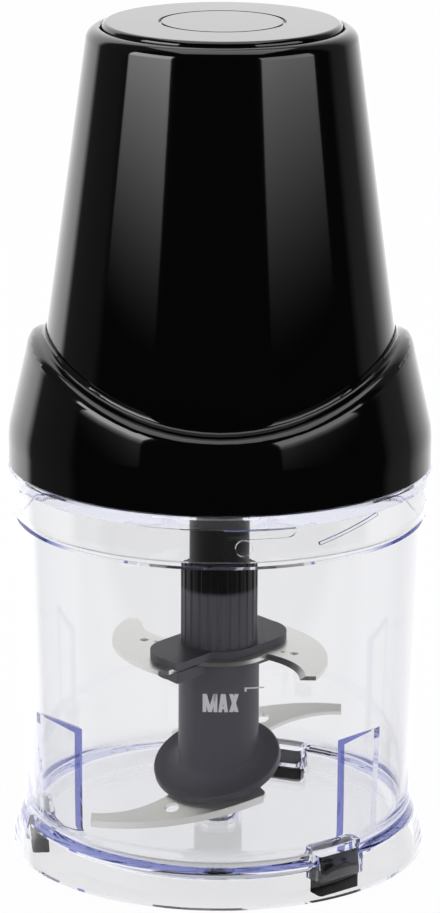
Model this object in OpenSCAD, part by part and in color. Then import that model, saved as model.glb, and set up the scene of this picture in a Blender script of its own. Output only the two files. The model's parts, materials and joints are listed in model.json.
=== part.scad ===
// Electric food chopper: a clear bowl with a twist-lock lid, a blade set that turns on a pin in the
// bowl floor, and a motor unit that drives it through a planetary gear. Millimetres, +Z up, front at -Y.

/* [Bowl] */
// Outer radius of the wall under the lid skirt; the lid and the motor unit follow it
bowl_top_r = 58.2; // [52:0.1:66]
// How far the wall draws in from there to the flare
bowl_taper = 2.8; // [1:0.1:5]
// How far the foot ring stands out from the foot of the wall
bowl_flare = 4.2; // [2:0.1:6]
// Height of the flare of the foot ring
bowl_flare_h = 17; // [14:0.5:20]
// Wall thickness
bowl_wall = 2.2; // [1.6:0.1:2.8]
// Thickness of the foot ring's skirt
skirt_wall = 2.4; // [1.8:0.1:3]
// Height of the underside of the floor
floor_z = 4.6; // [3.5:0.1:6]
// Thickness of the floor
floor_t = 2.4; // [1.8:0.1:3]
// Radius of the fillet between floor and wall
floor_fillet = 8.5; // [6:0.5:10]
// Height of the rim
rim_z = 110.6; // [100:0.1:130]
// Height of the rim collar that the lid skirt covers
rim_h = 10.9; // [10.2:0.1:13]
// Step from the wall in to the rim collar
rim_step = 0.8; // [0.6:0.05:1]

/* [Fins] */
// Angle of the first fin from the front
fin_angle = 53.5; // [45:0.5:65]
// Thickness of a fin
fin_t = 2.6; // [1.6:0.1:3.5]
// How far a fin reaches in from the foot of the wall
fin_depth = 12.8; // [8:0.1:14]
// Height of a fin at the wall
fin_top_z = 46; // [40:0.5:50]
// How far a fin's top falls towards its inner edge
fin_fall = 6.5; // [3:0.5:9]

/* [Feet] */
// How far the feet stand proud of the foot ring
foot_proud = 0.6; // [0.3:0.1:1.2]
// Width of a foot
foot_w = 14; // [10:0.5:18]
// Depth of a foot, towards the middle
foot_d = 4.8; // [3.5:0.1:5.5]
// Height of a foot
foot_h = 11.6; // [9:0.1:12]
// Distance from the foot ring's edge in to a foot
foot_inset = 5.2; // [5:0.1:6.1]
// Angle of the first foot from the front
foot_angle = 38.5; // [30:0.5:44]
// Wall of the pocket that holds a foot
pocket_wall = 1.8; // [1.2:0.1:2.4]

/* [Bayonet] */
// Number of lugs
lug_count = 3; // [2:1:4]
// Angle of the first lug from the front
lug_angle = 6.5; // [0:0.5:12]
// Radius of a lug
lug_r = 2.3; // [1.8:0.1:2.5]
// Height of a ledge of the rim
ledge_h = 2.4; // [2:0.1:2.8]
// How far a ledge stands out from the rim collar
ledge_d = 1.2; // [1:0.05:1.4]
// Angle that a ledge covers
ledge_span = 18.6; // [14:0.2:22]
// Angle from the stop of a ledge to the middle of the locked lug
lug_inset = 4.2; // [3.6:0.1:6]

/* [Lid] */
// Wall of the skirt
lid_wall = 1.4; // [1.2:0.05:1.5]
// Height of the bead at the lid's edge
lid_bead_h = 3.5; // [3:0.1:5]
// Thickness of the lid's plate
lid_plate_t = 2.2; // [1.6:0.1:2.8]
// Length of the skirt below the plate
lid_skirt_h = 9.7; // [9.2:0.1:9.9]
// Height of the collar round the drive boss
lid_collar_h = 4; // [2:0.5:8]

/* [Motor housing] */
// Height of the motor unit from the lid to the housing's top face
housing_h = 124; // [120:1:140]
// Distance from the shoulder ring's face in to the foot of the cone
cone_step = 6.3; // [5:0.1:8]
// Width of the rim round the button, before rounding
top_rim_w = 4.2; // [3.6:0.1:8]
// Wall of the cone
housing_wall = 2.6; // [2:0.1:2.8]
// Rounding of the top rim
top_round = 3.5; // [2:0.1:3.6]
// Thickness of the lip round the button
lip_t = 3.2; // [2:0.1:4]

/* [Shoulder ring] */
// Step from the lid's edge in to the ring
ring_step = 0.1; // [0:0.05:0.8]
// Height of the upright part of the outer face
ring_upright_h = 10; // [6:0.5:14]
// Inward slope of the outer face above that, per mm of height
ring_slope = 0.228; // [0.15:0.005:0.26]
// Height of the lowest point of the saddle, at front and back
saddle_h = 21.1; // [18:0.1:26]
// Radius of the trough that forms the saddle
saddle_r = 84; // [75:1:120]

/* [Base plate and boss] */
// Gap between the lid and the base plate
base_gap = 0.6; // [0.3:0.1:1]
// Thickness of the base plate
base_t = 3; // [2.4:0.1:3.6]
// Outer radius of the drive boss
boss_r = 8.6; // [8:0.1:9]
// Length of the boss below the lid's top face
boss_h = 17.4; // [14:0.1:18]
// Width of the seat for the base plate in the shoulder ring
ring_seat_w = 2.9; // [2:0.1:3.4]

/* [Button] */
// Radius of the button
button_r = 33.4; // [30:0.1:33.5]
// Gap round the button
button_gap = 0.5; // [0.3:0.05:0.7]
// How far the button stands above the housing
button_rise = 1.4; // [1:0.1:3]
// Travel of the button
button_travel = 3.5; // [2:0.1:4]
// Thickness of the button's top
button_t = 2.6; // [2:0.1:3.2]
// Radius of the engraved ring
mark_r = 17.3; // [8:0.1:26]
// Width of the engraved ring
mark_w = 0.9; // [0.5:0.1:1.5]
// Depth of the engraved ring
mark_d = 0.5; // [0.3:0.1:0.8]

/* [Blade hub] */
// Radius of the hub's body
hub_r = 11.6; // [11:0.1:13]
// Radius of the fluted sleeve
sleeve_r = 11; // [10.8:0.1:12]
// Number of flutes
flute_count = 24; // [12:1:30]
// Radius of a flute
flute_r = 0.7; // [0.4:0.1:0.9]
// How far the coupling reaches into the hub
socket_depth = 8; // [6:0.5:12]
// Height of the upper blade's underside
upper_blade_z = 57.4; // [50:0.1:64]
// Thickness of the upper flange above its blade
upper_flange_t = 2.2; // [1.6:0.1:4]
// Height at which the lower blade's underside crosses the axis
lower_blade_z = 22.4; // [21.5:0.1:26]
// Tilt of the lower blade
lower_tilt = 22; // [12:0.5:23]
// Direction of the lower blade's lowest point, from the front
lower_low_angle = -27; // [-60:1:20]
// Radius of the lower flange
lower_flange_r = 18.5; // [17:0.1:20]
// Thickness of the lower flange at its rim
lower_flange_t = 2.2; // [1.5:0.1:4]
// Height of the flare from the lower flange to the hub's body
flare_h = 4.6; // [3:0.1:6]

/* [Blades] */
// Thickness of the blades
blade_t = 1.2; // [0.8:0.1:1.6]
// Width of the ground edge
blade_bevel = 1.6; // [0.8:0.1:2.4]
// Gap between the lower blade's tips and the fins
tip_gap = 2.2; // [1.2:0.1:6]
// Direction of the lower blade's arms, from the front
lower_arm_angle = -62; // [-90:1:-40]
// Turn of the upper blade about the axis
upper_turn = 0; // [-45:1:45]

/* [Drive] */
// Radius of the pin in the bowl floor
pin_r = 3; // [2.4:0.1:3.6]
// Length of the pin above the floor boss
pin_h = 16; // [10:0.5:20]
// Radius of the output shaft
output_shaft_r = 4; // [3:0.1:4.4]
// Outer radius of the coupling's splines
coupling_r = 8.5; // [7.6:0.1:8.8]
// Length of the coupling
coupling_h = 19.4; // [16:0.1:24]
// Number of splines
spline_count = 6; // [4:1:8]
// Width of a spline
spline_w = 3; // [2:0.1:3.6]
// Depth of a spline
spline_d = 1; // [0.6:0.1:1.4]

/* [Gears] */
// Module of the gears
gear_module = 0.8; // [0.8:0.01:0.84]
// Teeth of the motor pinion
sun_teeth = 12; // [12:6:12]
// Teeth of a planet gear
planet_teeth = 18; // [18:6:18]
// Number of planet gears
planet_count = 3; // [3:1:3]
// Width of the gears
gear_w = 8; // [6:0.5:10]
// Thickness of the planet carrier
carrier_t = 3.4; // [2.5:0.1:4.5]
// Radius of a planet pin
planet_pin_r = 1.6; // [1.2:0.1:2]
// Wall of the ring gear outside its teeth
ring_gear_wall = 4; // [3:0.1:5]
// Thickness of the gear cover
gear_cover_t = 3; // [2.4:0.1:4]

/* [Motor] */
// Radius of the motor can
motor_r = 21; // [19:0.5:22]
// Length of the motor can
motor_h = 52; // [48:1:58]
// Wall of the motor can
motor_wall = 1.5; // [1:0.1:2]
// Radius of the motor shaft
motor_shaft_r = 1.6; // [1.4:0.05:2]
// Radius of the armature
armature_r = 15.2; // [13:0.1:15.4]
// Number of armature slots
armature_slots = 5; // [3:2:7]
// Thickness of a field magnet
magnet_t = 3.6; // [2.5:0.1:3.8]
// Radius of the commutator
commutator_r = 5; // [4:0.1:6]

/* [Switch] */
// Height of the switch bracket above the end of the motor
switch_space = 19; // [18:0.5:24]
// Thickness of the switch bracket
bracket_t = 3; // [2.4:0.1:4]
// Radius of the button's stem
stem_r = 4; // [3:0.1:4.5]
// Height of the guide tube that the stem runs in
guide_h = 13; // [8:0.5:15]
// Diameter of the spring's wire
spring_wire = 1.2; // [0.8:0.1:1.6]
// Turns of the spring
spring_turns = 6; // [4:1:7]

/* [Cord inlet] */
// Height of the cord gland above the lid
gland_h = 57.6; // [50:0.5:80]
// Radius of the gland's bore
gland_bore_r = 3.3; // [2.5:0.1:3.8]
// Radius of the gland's body
gland_r = 5.6; // [5:0.1:6]
// Radius of the gland's flange
gland_flange_r = 7.6; // [7:0.1:9]
// Length of the gland
gland_len = 11; // [8:0.5:14]

/* [Fits] */
// Gap of pieces that are fixed in each other
fit_gap = 0.02; // [0.01:0.01:0.04]
// Radial gap of a shaft in its bearing
run_gap = 0.06; // [0.02:0.01:0.09]
// Gap between pieces that pass each other
clear_gap = 0.3; // [0.2:0.05:0.4]
// Gap under a piece that rests on another
seat_gap = 0.05; // [0.02:0.01:0.1]

/* [Hidden] */
$fn = 96;

// Past-the-face length of a cut
cut = 1;
// Far outside the object
far = 200;

black = "#101012";
clear_blue = "#c9cff0";
hub_grey = "#4a4a4e";
steel = "#c8c8c4";
brass = "#c9a35a";
zinc = "#9a9da0";
white_nylon = "#e6e4dc";
copper = "#b5652f";
board_green = "#2f6b45";

// Radii, each from the one before
bowl_low_r = bowl_top_r - bowl_taper;
bowl_foot_r = bowl_low_r + bowl_flare;
foot_r = bowl_foot_r - foot_inset;
fin_inner_r = bowl_low_r - fin_depth;
lower_tip_r = fin_inner_r - tip_gap;
rim_r = bowl_top_r - rim_step;
ledge_r = rim_r + ledge_d;
lid_inner_r = ledge_r + clear_gap;
lid_r = lid_inner_r + lid_wall;
ring_r = lid_r - ring_step;
cone_foot_r = ring_r - cone_step;
cone_top_r = button_r + top_rim_w;

// Heights of the bowl
floor_top = floor_z + floor_t;
flare_top = foot_proud + bowl_flare_h;
collar_z = rim_z - rim_h;
floor_boss_r = pin_r + 2.2;
floor_boss_top = floor_top + 2.9;

// Heights of the lid and of the motor unit on it
lid_under = rim_z + clear_gap;
lid_top = lid_under + lid_bead_h;
motor_z = lid_top + seat_gap;
base_z = motor_z + base_gap;
base_top = base_z + base_t;
housing_top = motor_z + housing_h;
cone_z = base_top;
cone_fall = (cone_foot_r - cone_top_r) / (housing_top - cone_z);
cone_lean = atan(cone_fall);
lip_z = housing_top - lip_t;

// Seat for the base plate in the shoulder ring, whose inside is a polygon of this many sides
ring_sides = 72;
ring_seat_r = ring_r - ring_seat_w;
base_r = ring_seat_r * cos(180 / ring_sides) - fit_gap;

// Gears
sun_r = gear_module * sun_teeth / 2;
planet_r = gear_module * planet_teeth / 2;
ring_teeth = sun_teeth + 2 * planet_teeth;
ring_pitch_r = gear_module * ring_teeth / 2;
planet_orbit = sun_r + planet_r;
pressure_angle = 25;
tooth_out = 0.8 * gear_module;
tooth_in = 1.05 * gear_module;
tooth_thin = 0.15 * gear_module;
ring_gear_r = ring_pitch_r + tooth_in + ring_gear_wall;
carrier_r = ring_pitch_r - tooth_out - 4 * clear_gap;

// Heights of the gear train, from the base plate up
bush_flange_t = 1;
carrier_z = base_top + bush_flange_t + 0.2;
gear_z = carrier_z + carrier_t + 0.4;
gear_top = gear_z + gear_w;
cover_z = gear_top + 1;
cover_top = cover_z + gear_cover_t;

// Heights of the motor
motor_top = cover_top + motor_h;
end_cap_t = 4;
end_cap_top = motor_top + end_cap_t;
shaft_top = end_cap_top + 4;
core_z = cover_top + 9;
core_top = motor_top - 13;
winding_over = 4;
commutator_z = core_top + winding_over + 0.6;
commutator_top = motor_top - 0.8;

// Heights of the switch and the button
bracket_z = end_cap_top + switch_space;
bracket_top = bracket_z + bracket_t;
button_top = housing_top + button_rise;
button_under = button_top - button_t;
stop_gap = 0.3;
plunger_top = bracket_z + 0.9;
stem_z = plunger_top + stop_gap + button_travel;
button_flange_t = 2.8;
button_flange_top = lip_z - 0.2;
opening_r = button_r + button_gap;

// Heights of the coupling and the hub
boss_z = lid_top - boss_h;
coupling_top = boss_z - clear_gap;
coupling_z = coupling_top - coupling_h;
hub_top = coupling_z + socket_depth;
socket_z = coupling_z - 0.5;
hub_z = floor_boss_top + clear_gap;
bush_r = output_shaft_r + 2;

// Screw posts
screw_r = 1.5;
screw_head_r = 2.8;
screw_head_t = 1.4;
post_r = 4;
base_post_orbit = cone_foot_r - housing_wall - post_r - 2.8;
base_post_h = 24;
cover_post_orbit = ring_gear_r + post_r + 2;
bracket_post_orbit = cone_r(bracket_z) - housing_wall - post_r - 0.4;
bracket_post_h = 12;

function smooth(t) = t * t * (3 - 2 * t);
function cone_r(z) = cone_foot_r - cone_fall * (z - cone_z);
function bowl_r(z) = z < flare_top
    ? bowl_low_r + (bowl_foot_r - bowl_low_r) * (1 - smooth((z - foot_proud) / bowl_flare_h))
    : bowl_low_r + (bowl_top_r - bowl_low_r) * (z - flare_top) / (collar_z - flare_top);
function arc(centre, r, a0, a1, n) =
    [for (i = [0 : n]) let (a = a0 + (a1 - a0) * i / n) centre + r * [cos(a), sin(a)]];
function bend(p, c, q, n) =
    [for (i = [0 : n]) let (t = i / n) (1 - t) * (1 - t) * p + 2 * t * (1 - t) * c + t * t * q];

// Turns what is built at the front, -Y, to an angle counted from the front towards +X
module at_angle(a) {
    rotate([0, 0, a]) children();
}

// Tube between two radii
module tube(r_in, r_out, h) {
    difference() {
        cylinder(r = r_out, h = h);
        translate([0, 0, -cut]) cylinder(r = r_in, h = h + 2 * cut);
    }
}

// Flat sector that covers the angles a0 to a1 from the front, for spans under 120 degrees
module sector(a0, a1, r) {
    mid = (a0 + a1) / 2;
    long = r / cos((a1 - a0) / 2);
    polygon([[0, 0], r * [sin(a0), -cos(a0)], long * [sin(mid), -cos(mid)], r * [sin(a1), -cos(a1)]]);
}

// Part of a ring between two angles
module ring_part(r_in, r_out, h, a0, a1) {
    intersection() {
        tube(r_in, r_out, h);
        translate([0, 0, -cut]) linear_extrude(h + 2 * cut) sector(a0, a1, 2 * r_out);
    }
}

// Rectangle with round corners, centred
module round_rect(w, d, r) {
    square([w - 2 * r, d], center = true);
    square([w, d - 2 * r], center = true);
    for (x = [-1, 1], y = [-1, 1])
        translate([x * (w / 2 - r), y * (d / 2 - r)]) circle(r = r, $fn = 32);
}

// Screw with its head at the bottom, standing on z = 0
module screw(length) {
    cylinder(r = screw_head_r - 0.2, h = screw_head_t - 0.2, $fn = 32);
    cylinder(r = screw_r, h = length, $fn = 32);
}

// Bowl
bayonet_z = rim_z - 0.3 - ledge_h;
lug_z = bayonet_z - 0.2 - lug_r;
stop_angle = lug_angle - lug_inset;
stop_w = 1;
detent_angle = lug_angle + 4.2;
detent_h = 0.15;
ramp_angle = lug_angle + 31.5;
ramp_lean = 14;
ramp_z = lug_z + 2;
ramp_t = 0.9;
ramp_d = 0.7;

module bowl_shell() {
    inner_low = bowl_r(floor_top + floor_fillet) - bowl_wall;
    mid = [inner_low - floor_fillet, floor_top + floor_fillet];
    hollow_top = mid[1] - (floor_fillet + floor_t) * sin(35);
    flare_n = 12;
    outside = [for (i = [0 : flare_n]) let (z = foot_proud + bowl_flare_h * i / flare_n) [bowl_r(z), z]];
    skirt = [for (i = [0 : 6]) let (z = hollow_top + (foot_proud - hollow_top) * i / 6)
        [bowl_r(z) - skirt_wall, z]];
    rotate_extrude() polygon(concat(
        outside,
        [[bowl_top_r, collar_z - 0.6], [bowl_top_r - 0.6, collar_z], [rim_r, collar_z],
            [rim_r, rim_z - 0.4], [rim_r - 0.4, rim_z], [bowl_top_r - bowl_wall, rim_z],
            [bowl_top_r - bowl_wall, collar_z]],
        arc(mid, floor_fillet, 0, -90, 8),
        [[0, floor_top], [0, floor_z]],
        arc(mid, floor_fillet + floor_t, -90, -35, 5),
        skirt));
}

// Upright fin that throws the food back into the blades
module fin() {
    low = floor_top - floor_t / 2;
    rotate([90, 0, -90]) translate([0, 0, -fin_t / 2]) linear_extrude(fin_t)
        polygon([[fin_inner_r, low], [fin_inner_r, fin_top_z - fin_fall],
            [bowl_r(fin_top_z) - bowl_wall / 2, fin_top_z],
            [bowl_r(floor_top + floor_fillet) - bowl_wall / 2, floor_top + floor_fillet],
            [bowl_r(floor_top + floor_fillet) - floor_fillet, low]]);
}

module foot_outline(grow) {
    translate([0, -foot_r + foot_d / 2]) round_rect(foot_w + 2 * grow, foot_d + 2 * grow, 1 + grow);
}

// Ledge of the bayonet with its stop, its detent and the ramp that leads to it
module bayonet_ledge() {
    root = rim_r - 0.5;
    corner_r = ledge_h - 0.02;
    corner_angle = stop_angle + ledge_span - asin(corner_r / ledge_r);
    translate([0, 0, bayonet_z]) ring_part(root, ledge_r, ledge_h, stop_angle, corner_angle);
    intersection() {
        translate([0, 0, bayonet_z]) tube(root, ledge_r, ledge_h);
        at_angle(corner_angle) translate([0, -root / 2, bayonet_z + ledge_h]) rotate([90, 0, 0])
            cylinder(r = corner_r, h = root, $fn = 48);
    }
    translate([0, 0, collar_z + 0.6])
        ring_part(root, ledge_r, bayonet_z + ledge_h - collar_z - 0.6, stop_angle - stop_w, stop_angle);
    translate([0, 0, lug_z - lug_r])
        ring_part(root, rim_r + detent_h, 2 * lug_r, detent_angle - 0.4, detent_angle + 0.4);
    intersection() {
        translate([0, 0, collar_z + 0.6]) tube(root, rim_r + ramp_d, rim_h - 1);
        at_angle(ramp_angle) translate([0, -rim_r, ramp_z]) rotate([0, -ramp_lean, 0])
            cube([0.36 * rim_r, 6, ramp_t], center = true);
    }
}

module bowl() {
    color(clear_blue, 0.35) difference() {
        union() {
            bowl_shell();
            for (k = [0 : 2]) at_angle(fin_angle + 120 * k) fin();
            for (k = [0 : 2]) at_angle(foot_angle + 120 * k) translate([0, 0, floor_z])
                linear_extrude(foot_h + pocket_wall - floor_z) foot_outline(pocket_wall - 0.5);
            for (k = [0 : lug_count - 1]) at_angle(k * 360 / lug_count) bayonet_ledge();
            translate([0, 0, floor_z]) cylinder(r = floor_boss_r, h = floor_boss_top - floor_z);
        }
        for (k = [0 : 2]) at_angle(foot_angle + 120 * k) translate([0, 0, -cut])
            linear_extrude(foot_h + cut + fit_gap) foot_outline(fit_gap);
        translate([0, 0, floor_z + 0.6]) cylinder(r = pin_r + fit_gap, h = far);
    }
}

module pivot_pin() {
    color(steel) translate([0, 0, floor_z + 0.6]) {
        cylinder(r = pin_r, h = floor_boss_top + pin_h - floor_z - 1.4);
        translate([0, 0, floor_boss_top + pin_h - floor_z - 1.4])
            cylinder(r1 = pin_r, r2 = pin_r - 0.8, h = 0.8);
    }
}

module foot(k) {
    color(black) at_angle(foot_angle + 120 * k) linear_extrude(foot_h) foot_outline(0);
}
module foot_front() { foot(0); }
module foot_back() { foot(1); }
module foot_left() { foot(2); }

// Lid
lid_hole_r = boss_r + 2 * clear_gap;
lid_skirt_z = lid_under - lid_skirt_h;
lug_tip_r = rim_r + clear_gap;

module lid() {
    plate_top = lid_under + lid_plate_t;
    bead_in = rim_r - 3;
    color(clear_blue, 0.35) {
        rotate_extrude() polygon([
            [lid_inner_r, lid_skirt_z], [lid_r - 1.2, lid_skirt_z], [lid_r - 0.7, lid_skirt_z + 0.6],
            [lid_r, lid_under], [lid_r, lid_top - 0.6], [lid_r - 0.6, lid_top], [bead_in, lid_top],
            [bead_in - 1, plate_top], [lid_hole_r, plate_top], [lid_hole_r, lid_under - lid_collar_h],
            [lid_hole_r + 1.8, lid_under - lid_collar_h], [lid_hole_r + 1.8, lid_under],
            [lid_inner_r, lid_under]]);
        for (k = [0 : lug_count - 1]) at_angle(lug_angle + k * 360 / lug_count) intersection() {
            translate([0, -lug_tip_r, lug_z]) rotate([90, 0, 0]) cylinder(r = lug_r, h = far, $fn = 32);
            tube(lug_tip_r, lid_inner_r + lid_wall / 2, far);
        }
    }
}

// Post that stands on the inside of the cone, built at the front
module wall_post(orbit, z, h) {
    intersection() {
        union() {
            translate([0, -orbit, z]) cylinder(r = post_r, h = h, $fn = 48);
            translate([-1.25, -far, z]) cube([2.5, far - orbit, h]);
        }
        translate([0, 0, cone_z]) cylinder(r1 = cone_foot_r - housing_wall / 2,
            r2 = cone_top_r - housing_wall / 2, h = housing_top - cone_z);
    }
}

// Frame of the cord gland: its axis square to the cone at the back
module at_gland() {
    z = motor_z + gland_h;
    translate([0, cone_r(z), z]) rotate([-90 + cone_lean, 0, 0]) children();
}
gland_seat = 1.2;

module motor_housing() {
    mid = [cone_r(housing_top - top_round) - top_round / cos(cone_lean), housing_top - top_round];
    color(black) difference() {
        union() {
            rotate_extrude() polygon(concat(
                [[cone_foot_r, cone_z]],
                arc(mid, top_round, cone_lean, 90, 10),
                [[opening_r + 0.3, housing_top], [opening_r, housing_top - 0.3], [opening_r, lip_z],
                    [cone_r(lip_z) - housing_wall, lip_z], [cone_foot_r - housing_wall, cone_z]]));
            for (k = [0 : 2]) at_angle(60 + 120 * k) wall_post(base_post_orbit, cone_z, base_post_h);
            for (k = [0 : 2]) at_angle(120 * k)
                wall_post(bracket_post_orbit, bracket_z - bracket_post_h, bracket_post_h);
        }
        for (k = [0 : 2]) at_angle(60 + 120 * k) translate([0, -base_post_orbit, cone_z - cut])
            cylinder(r = screw_r + fit_gap, h = base_post_h - 4 + cut, $fn = 32);
        for (k = [0 : 2]) at_angle(120 * k) translate([0, -bracket_post_orbit, bracket_z - 9])
            cylinder(r = screw_r + fit_gap, h = 9 + cut, $fn = 32);
        at_gland() {
            translate([0, 0, -gland_len]) cylinder(r = gland_r + fit_gap, h = 2 * gland_len);
            translate([0, 0, -gland_seat]) cylinder(r = gland_flange_r + clear_gap, h = gland_len);
        }
    }
}

module cord_gland() {
    flange_t = 2;
    color(black) at_gland() translate([0, 0, -gland_seat]) difference() {
        union() {
            translate([0, 0, flange_t - gland_len]) cylinder(r = gland_r, h = gland_len - flange_t);
            cylinder(r = gland_flange_r, h = flange_t - 0.5);
            translate([0, 0, flange_t - 0.5]) cylinder(r1 = gland_flange_r, r2 = gland_flange_r - 0.5, h = 0.5);
        }
        translate([0, 0, -gland_len]) cylinder(r = gland_bore_r, h = 2 * gland_len);
    }
}

// Shoulder ring: a tapered collar round the cone, its top cut by a wide trough along Y, so that its edge
// stands high at the sides and low at front and back
saddle_z = motor_z + saddle_h;
knee_z = motor_z + ring_upright_h;
ring_gap = 0.15;
function trough_z(x) = saddle_z + saddle_r - sqrt(saddle_r * saddle_r - x * x);
function ring_out(z) = ring_r - ring_slope * max(z - knee_z, 0);
function valley_r(a, r, n) = n == 0 ? r : valley_r(a, cone_r(trough_z(r * sin(a))) + ring_gap, n - 1);
function ring_section(a) =
    let (
        r = valley_r(a, cone_foot_r, 10),
        z = trough_z(r * sin(a)),
        crest = [ring_out(z), z],
        wide = crest[0] - r,
        round = 0.6 * wide,
        fillet = 0.34 * wide,
        edge = 0.6,
        soft = 3,
        low = z - 1.3 * round,
        lip = z + fillet
    )
    concat(
        [[ring_seat_r, motor_z], [ring_r - edge, motor_z], [ring_r, motor_z + edge]],
        bend([ring_r, knee_z - soft], [ring_r, knee_z], [ring_out(knee_z + soft), knee_z + soft], 4),
        bend([ring_out(low), low], crest, crest - [round, 0], 7),
        bend([r + fillet, z], [r, z], [cone_r(lip) + ring_gap + 0.2, lip], 5),
        [[cone_r(lip) + ring_gap, lip], [cone_foot_r + ring_gap, cone_z], [ring_seat_r, cone_z]]);

module shoulder_ring() {
    sections = [for (i = [0 : ring_sides - 1]) ring_section(i * 360 / ring_sides)];
    n = len(sections[0]);
    points = [for (i = [0 : ring_sides - 1], p = sections[i])
        let (a = i * 360 / ring_sides) [p[0] * sin(a), -p[0] * cos(a), p[1]]];
    faces = [for (i = [0 : ring_sides - 1], j = [0 : n - 1])
        let (i2 = (i + 1) % ring_sides, j2 = (j + 1) % n)
        each [[i * n + j, i * n + j2, i2 * n + j2], [i * n + j, i2 * n + j2, i2 * n + j]]];
    color(black) polyhedron(points, faces);
}

// Base plate with the drive boss, the posts for the gear cover and the seat of the ring gear
base_screw_z = base_z + 0.1;
module housing_base() {
    seat_rim_h = 4;
    color(black) difference() {
        union() {
            translate([0, 0, base_z]) cylinder(r = base_r, h = base_t);
            translate([0, 0, boss_z]) cylinder(r = boss_r, h = base_top - boss_z);
            translate([0, 0, base_z]) tube(ring_gear_r + fit_gap, ring_gear_r + 2, base_t + seat_rim_h);
            for (k = [0 : 2]) at_angle(120 * k) translate([0, -cover_post_orbit, base_z])
                cylinder(r = post_r, h = cover_z - base_z, $fn = 48);
        }
        translate([0, 0, boss_z - cut]) cylinder(r = bush_r + fit_gap, h = base_top - boss_z + 2 * cut);
        for (k = [0 : 2]) at_angle(60 + 120 * k) translate([0, -base_post_orbit, base_z - cut]) {
            cylinder(r = screw_r + 0.2, h = base_t + 2 * cut, $fn = 32);
            cylinder(r = screw_head_r, h = screw_head_t + cut + 0.1, $fn = 32);
        }
        for (k = [0 : 2]) at_angle(120 * k) translate([0, -cover_post_orbit, cover_z - 10])
            cylinder(r = screw_r + fit_gap, h = 10 + cut, $fn = 32);
    }
}

module base_screws() {
    color(zinc) for (k = [0 : 2]) at_angle(60 + 120 * k) translate([0, -base_post_orbit, base_screw_z + 0.2])
        screw(base_t + base_post_h - 7);
}

module output_bush() {
    color(brass) {
        translate([0, 0, boss_z + 1]) tube(output_shaft_r + run_gap, bush_r, base_top - boss_z - 1);
        translate([0, 0, base_top]) tube(output_shaft_r + run_gap, bush_r + 2, bush_flange_t);
    }
}

// Involute gears
function roll(base_r, r) = sqrt(max(pow(r / base_r, 2) - 1, 0));
function flank_turn(base_r, r) = roll(base_r, r) * 180 / PI - atan(roll(base_r, r));
function half_tooth(teeth, grow, r) =
    let (pitch_r = gear_module * teeth / 2, base_r = pitch_r * cos(pressure_angle))
    90 / teeth + grow / (2 * pitch_r) * 180 / PI + flank_turn(base_r, pitch_r) - flank_turn(base_r, r);
function gear_outline(teeth, r_in, r_out, grow) =
    let (
        base_r = gear_module * teeth / 2 * cos(pressure_angle),
        steps = 4,
        r0 = max(r_in, base_r),
        flank = concat(r_in < base_r ? [r_in] : [], [for (i = [0 : steps]) r0 + (r_out - r0) * i / steps]),
        n = len(flank)
    )
    [for (t = [0 : teeth - 1], side = [-1, 1], i = [0 : n - 1])
        let (r = side < 0 ? flank[i] : flank[n - 1 - i],
            a = t * 360 / teeth + side * half_tooth(teeth, grow, max(r, base_r)))
        r * [cos(a), sin(a)]];
module gear_face(teeth) {
    r = gear_module * teeth / 2;
    polygon(gear_outline(teeth, r - tooth_in, r + tooth_out, -tooth_thin));
}

module ring_gear() {
    color(white_nylon) difference() {
        translate([0, 0, base_top]) cylinder(r = ring_gear_r, h = cover_z - base_top);
        translate([0, 0, base_top - cut])
            cylinder(r = ring_pitch_r + tooth_in + 0.5, h = gear_z - 0.2 - base_top + cut);
        translate([0, 0, base_top]) linear_extrude(cover_z - base_top + cut) rotate([0, 0, 180 / ring_teeth])
            polygon(gear_outline(ring_teeth, ring_pitch_r - tooth_out, ring_pitch_r + tooth_in, tooth_thin));
    }
}

module motor_pinion() {
    color(brass) translate([0, 0, gear_z]) linear_extrude(gear_w) difference() {
        gear_face(sun_teeth);
        circle(r = motor_shaft_r + fit_gap, $fn = 32);
    }
}

module planet_gear(k) {
    color(white_nylon) rotate([0, 0, 360 * k / planet_count]) translate([planet_orbit, 0, gear_z])
        linear_extrude(gear_w) difference() {
            rotate([0, 0, 180 / planet_teeth]) gear_face(planet_teeth);
            circle(r = planet_pin_r + run_gap, $fn = 32);
        }
}
module planet_gear_1() { planet_gear(0); }
module planet_gear_2() { planet_gear(1); }
module planet_gear_3() { planet_gear(2); }

module planet_carrier() {
    color(steel) translate([0, 0, carrier_z]) difference() {
        cylinder(r = carrier_r, h = carrier_t);
        translate([0, 0, -cut]) cylinder(r = output_shaft_r + fit_gap, h = carrier_t + 2 * cut);
        for (k = [0 : planet_count - 1]) rotate([0, 0, 360 * k / planet_count])
            translate([planet_orbit, 0, -cut]) cylinder(r = planet_pin_r + fit_gap, h = carrier_t + 2 * cut);
    }
}

module planet_pins() {
    color(steel) for (k = [0 : planet_count - 1]) rotate([0, 0, 360 * k / planet_count])
        translate([planet_orbit, 0, carrier_z]) cylinder(r = planet_pin_r, h = gear_top + 0.4 - carrier_z);
}

shaft_grip = 12;
module output_shaft() {
    color(steel) translate([0, 0, coupling_top - shaft_grip])
        cylinder(r = output_shaft_r, h = carrier_z + carrier_t - coupling_top + shaft_grip);
}

// Cross-section of the splined coupling; grow widens it to the socket that takes it
module spline_face(grow) {
    circle(r = coupling_r - spline_d + grow);
    intersection() {
        circle(r = coupling_r + grow);
        for (k = [0 : spline_count - 1]) rotate([0, 0, k * 360 / spline_count])
            translate([-spline_w / 2 - grow, 0]) square([spline_w + 2 * grow, far]);
    }
}

module drive_coupling() {
    color(black) difference() {
        union() {
            translate([0, 0, coupling_z]) linear_extrude(coupling_h) spline_face(0);
            translate([0, 0, hub_top + 2]) cylinder(r = coupling_r, h = coupling_top - hub_top - 2);
        }
        translate([0, 0, coupling_top - shaft_grip]) cylinder(r = output_shaft_r + fit_gap, h = far);
    }
}

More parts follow.
